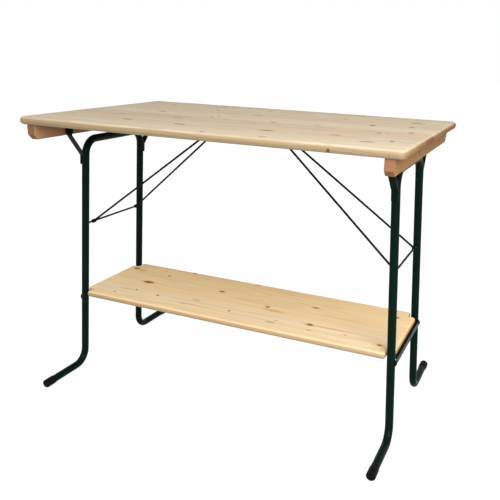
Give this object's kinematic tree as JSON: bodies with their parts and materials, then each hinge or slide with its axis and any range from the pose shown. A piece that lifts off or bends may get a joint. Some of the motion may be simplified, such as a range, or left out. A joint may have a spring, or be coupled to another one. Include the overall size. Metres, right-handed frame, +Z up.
{
  "type": "standing bar table",
  "caption": "Tall bar table: glued wooden top on hinged bent-tube steel frames held by wire stays, with a loose wooden shelf between the frames.",
  "frame": {"origin": "on the floor under the middle of the top", "axes": "+X along the top, +Y across it towards the back, +Z up"},
  "size_m": [1.422, 0.91, 1.1],
  "materials": {
    "top_wood": "clear lacquered spruce",
    "shelf_wood": "clear lacquered spruce",
    "cleat_wood": "planed beech, oiled",
    "frame_steel": "dark green powder coat, satin",
    "stay_steel": "dark green powder coat, satin",
    "spring_steel": "blackened spring steel",
    "fastener_steel": "blackened steel",
    "cap_plastic": "moulded black plastic"
  },
  "bodies": {
    "top": {"top_board_1": "top_wood", "top_board_2": "top_wood", "top_board_3": "top_wood", "top_board_4": "top_wood", "top_board_5": "top_wood", "top_board_6": "top_wood", "top_board_7": "top_wood", "left_cleat": "cleat_wood", "right_cleat": "cleat_wood", "cleat_screws": "fastener_steel", "left_front_bracket": "frame_steel", "left_back_bracket": "frame_steel", "right_front_bracket": "frame_steel", "right_back_bracket": "frame_steel", "bracket_screws": "fastener_steel", "hinge_bolts": "fastener_steel", "hinge_nuts": "fastener_steel", "left_stay_clip": "spring_steel", "right_stay_clip": "spring_steel", "clip_screws": "fastener_steel"},
    "left_frame": {"left_leg_tube": "frame_steel", "left_front_arm": "frame_steel", "left_back_arm": "frame_steel", "left_front_cap": "cap_plastic", "left_back_cap": "cap_plastic", "left_stay_rod": "stay_steel", "left_shelf_bar": "frame_steel", "left_shelf_bolts": "fastener_steel"},
    "right_frame": {"right_leg_tube": "frame_steel", "right_front_arm": "frame_steel", "right_back_arm": "frame_steel", "right_front_cap": "cap_plastic", "right_back_cap": "cap_plastic", "right_stay_rod": "stay_steel", "right_shelf_bar": "frame_steel", "right_shelf_bolts": "fastener_steel"},
    "left_stay": {"left_stay": "stay_steel"},
    "right_stay": {"right_stay": "stay_steel"},
    "shelf": {"shelf_board_1": "shelf_wood", "shelf_board_2": "shelf_wood", "shelf_board_3": "shelf_wood", "shelf_board_4": "shelf_wood", "shelf_board_5": "shelf_wood"}
  },
  "joints": [
    {"name": "left_frame_swing", "type": "hinge", "parent": "top", "child": "left_frame", "pos_m": [-0.62363, 0, 1.034], "axis": [0, 1, 0], "range_deg": [0, 6]},
    {"name": "right_frame_swing", "type": "hinge", "parent": "top", "child": "right_frame", "pos_m": [0.62363, 0, 1.034], "axis": [0, -1, 0], "range_deg": [0, 6]},
    {"name": "left_stay_swing", "type": "hinge", "parent": "left_frame", "child": "left_stay", "pos_m": [-0.64786, 0, 0.64475], "axis": [0, 1, 0], "range_deg": [0, 56]},
    {"name": "right_stay_swing", "type": "hinge", "parent": "right_frame", "child": "right_stay", "pos_m": [0.64786, 0, 0.64475], "axis": [0, -1, 0], "range_deg": [0, 56]},
    {"name": "shelf_lift", "type": "slide", "parent": "top", "child": "shelf", "axis": [0, 0, 1], "range_m": [0, 0.02]}
  ]
}
